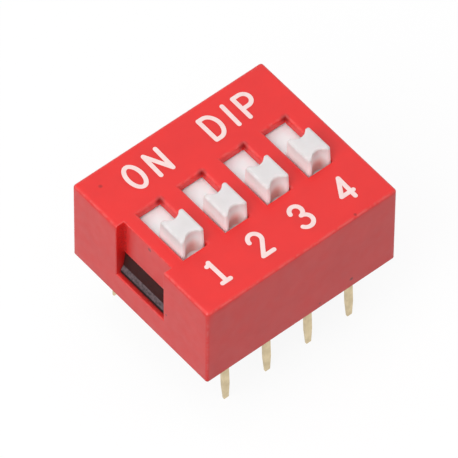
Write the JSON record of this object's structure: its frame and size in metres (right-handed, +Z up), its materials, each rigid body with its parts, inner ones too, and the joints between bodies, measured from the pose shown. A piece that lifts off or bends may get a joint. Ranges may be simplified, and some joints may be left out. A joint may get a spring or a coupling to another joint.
{
  "type": "dip switch",
  "caption": "Slide switch for a circuit board: a row of independent poles in one case, each with a small knob that slides between open and closed.",
  "frame": {"origin": "centre of the underside of the cover's walls, which is the face that sits on the board", "axes": "+X along the row of poles from position 1 to 4, +Y towards the closed end of the travel, +Z up out of the board"},
  "size_m": [0.0116, 0.0098, 0.0101],
  "materials": {
    "cover_plastic": "satin moulded red",
    "base_plastic": "moulded black",
    "knob_plastic": "satin moulded white",
    "contact_metal": "plated spring strip",
    "terminal_metal": "satin, pale gold plating"
  },
  "bodies": {
    "housing": {"cover": "cover_plastic", "base": "base_plastic", "terminal_1": "terminal_metal", "terminal_2": "terminal_metal", "terminal_3": "terminal_metal", "terminal_4": "terminal_metal", "terminal_5": "terminal_metal", "terminal_6": "terminal_metal", "terminal_7": "terminal_metal", "terminal_8": "terminal_metal"},
    "slider_1": {"actuator_1": "knob_plastic", "wiper_1": "contact_metal"},
    "slider_2": {"actuator_2": "knob_plastic", "wiper_2": "contact_metal"},
    "slider_3": {"actuator_3": "knob_plastic", "wiper_3": "contact_metal"},
    "slider_4": {"actuator_4": "knob_plastic", "wiper_4": "contact_metal"}
  },
  "joints": [
    {"name": "slide_1", "type": "slide", "parent": "housing", "child": "slider_1", "axis": [0, 1, 0], "range_m": [-0.00009, 0.00153]},
    {"name": "slide_2", "type": "slide", "parent": "housing", "child": "slider_2", "axis": [0, 1, 0], "range_m": [0, 0.00162]},
    {"name": "slide_3", "type": "slide", "parent": "housing", "child": "slider_3", "axis": [0, 1, 0], "range_m": [0, 0.00162]},
    {"name": "slide_4", "type": "slide", "parent": "housing", "child": "slider_4", "axis": [0, 1, 0], "range_m": [0, 0.00162]}
  ]
}
